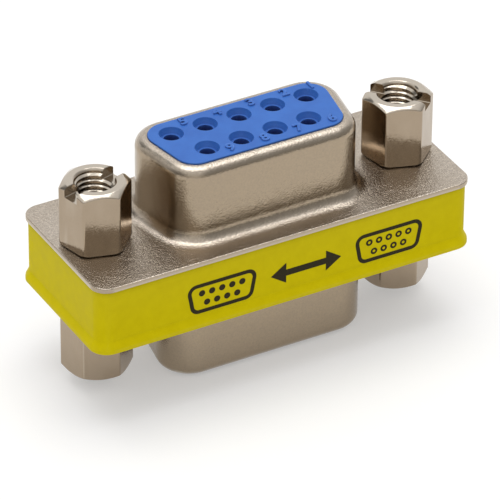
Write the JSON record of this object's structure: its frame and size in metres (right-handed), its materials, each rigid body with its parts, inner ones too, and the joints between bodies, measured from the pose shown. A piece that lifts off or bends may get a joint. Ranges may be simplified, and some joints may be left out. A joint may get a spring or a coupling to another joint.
{
  "type": "d-sub gender changer",
  "caption": "Slim D-sub gender changer with a socket face at each end, drawn metal hoods and flanges, hex jack screws and a label band round its edge.",
  "frame": {"origin": "centre of the lower insulator's face, the surface that the changer stands on", "axes": "+Z along the mating direction towards the upper socket face, +X along the length towards contact 1, +Y towards the wide row of the upper socket face"},
  "size_m": [0.031, 0.0126, 0.0179],
  "materials": {
    "nickel_steel": "nickel plated, satin",
    "nickel_hardware": "nickel plated, bright",
    "blue_plastic": "moulded, half gloss",
    "black_plastic": "moulded, matt",
    "contact_metal": "gold flashed",
    "yellow_vinyl": "adhesive vinyl, half gloss"
  },
  "bodies": {
    "root": {"upper_shell": "nickel_steel", "lower_shell": "nickel_steel", "upper_insulator": "blue_plastic", "lower_insulator": "blue_plastic", "spacer_frame": "black_plastic", "label_band": "yellow_vinyl", "jack_screw_left": "nickel_hardware", "jack_screw_right": "nickel_hardware", "hex_standoff_left": "nickel_hardware", "hex_standoff_right": "nickel_hardware", "contact_1": "contact_metal", "contact_2": "contact_metal", "contact_3": "contact_metal", "contact_4": "contact_metal", "contact_5": "contact_metal", "contact_6": "contact_metal", "contact_7": "contact_metal", "contact_8": "contact_metal", "contact_9": "contact_metal"}
  },
  "joints": []
}
